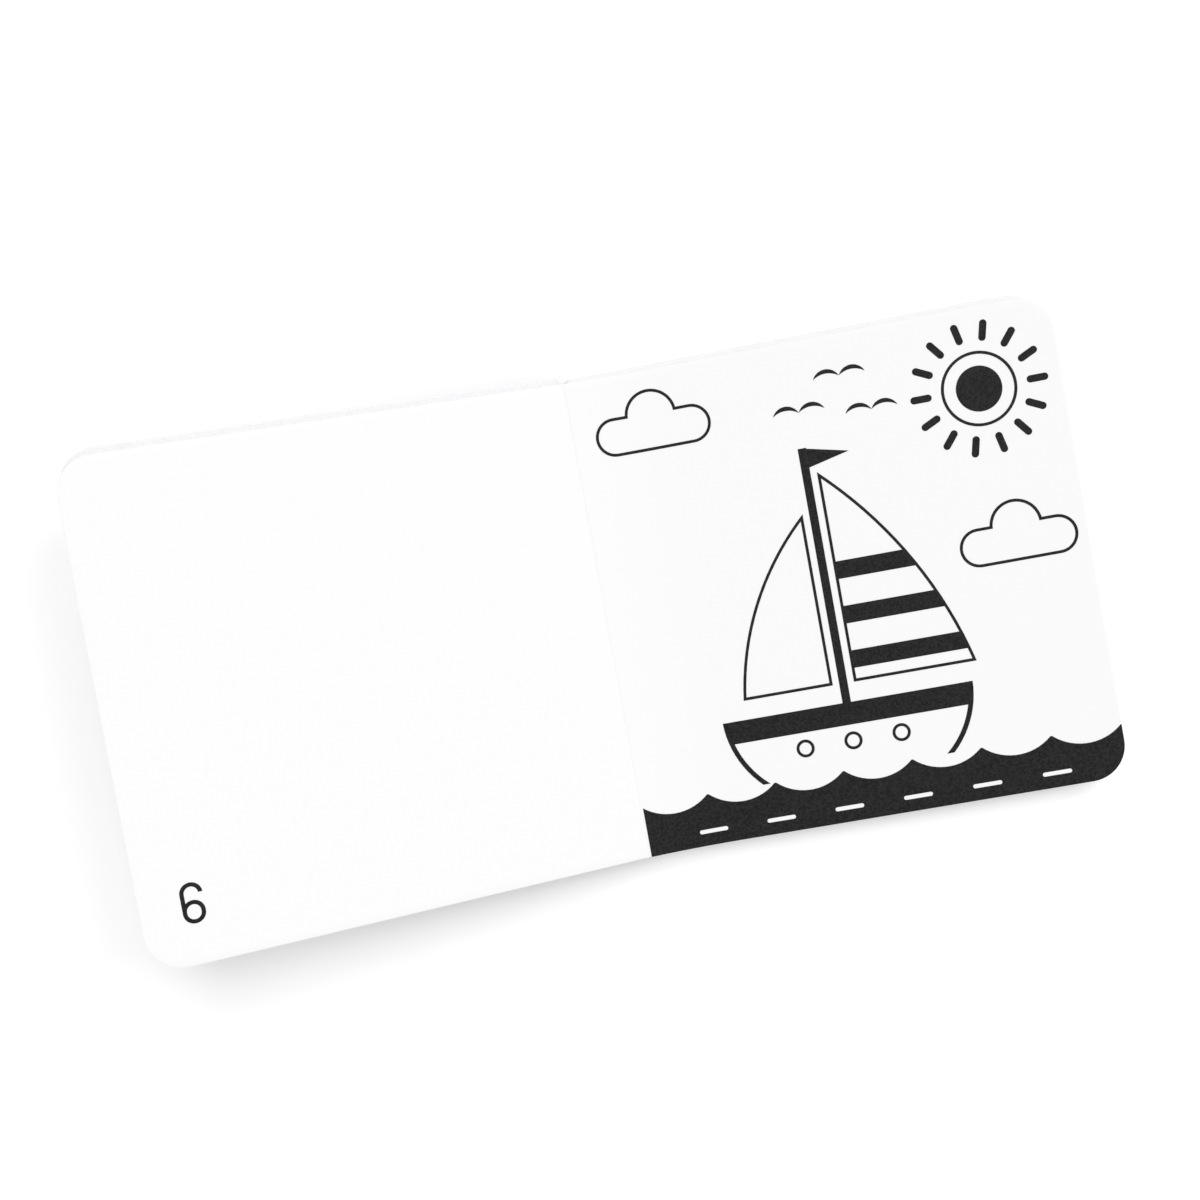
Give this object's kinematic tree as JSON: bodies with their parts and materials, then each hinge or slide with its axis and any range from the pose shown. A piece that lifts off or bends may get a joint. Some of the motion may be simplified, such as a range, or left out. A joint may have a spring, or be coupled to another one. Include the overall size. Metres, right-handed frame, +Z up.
{
  "type": "baby board book",
  "caption": "Small square board book for a baby, lying open with its left half raised; its halves turn at the crease to close or lie flat.",
  "frame": {"origin": "middle of the open book's footprint, on the surface that the right half lies on", "axes": "+X from the left page to the right page, +Y from the pages' tail to their head, +Z up"},
  "size_m": [0.2962, 0.153, 0.0533],
  "materials": {
    "cover_board": "smooth matt white card",
    "page_board": "uncoated white board with a fine grain",
    "ink": "matt black printing ink"
  },
  "bodies": {
    "back_half": {"back_cover": "cover_board", "right_pages": "page_board", "right_print": "ink"},
    "front_half": {"front_cover": "cover_board", "left_pages": "page_board", "page_number": "ink"}
  },
  "joints": [
    {"name": "crease", "type": "hinge", "parent": "back_half", "child": "front_half", "pos_m": [-0.00186, 0, 0.0132], "axis": [0, 1, 0], "range_deg": [-15.5, 165.3]}
  ]
}
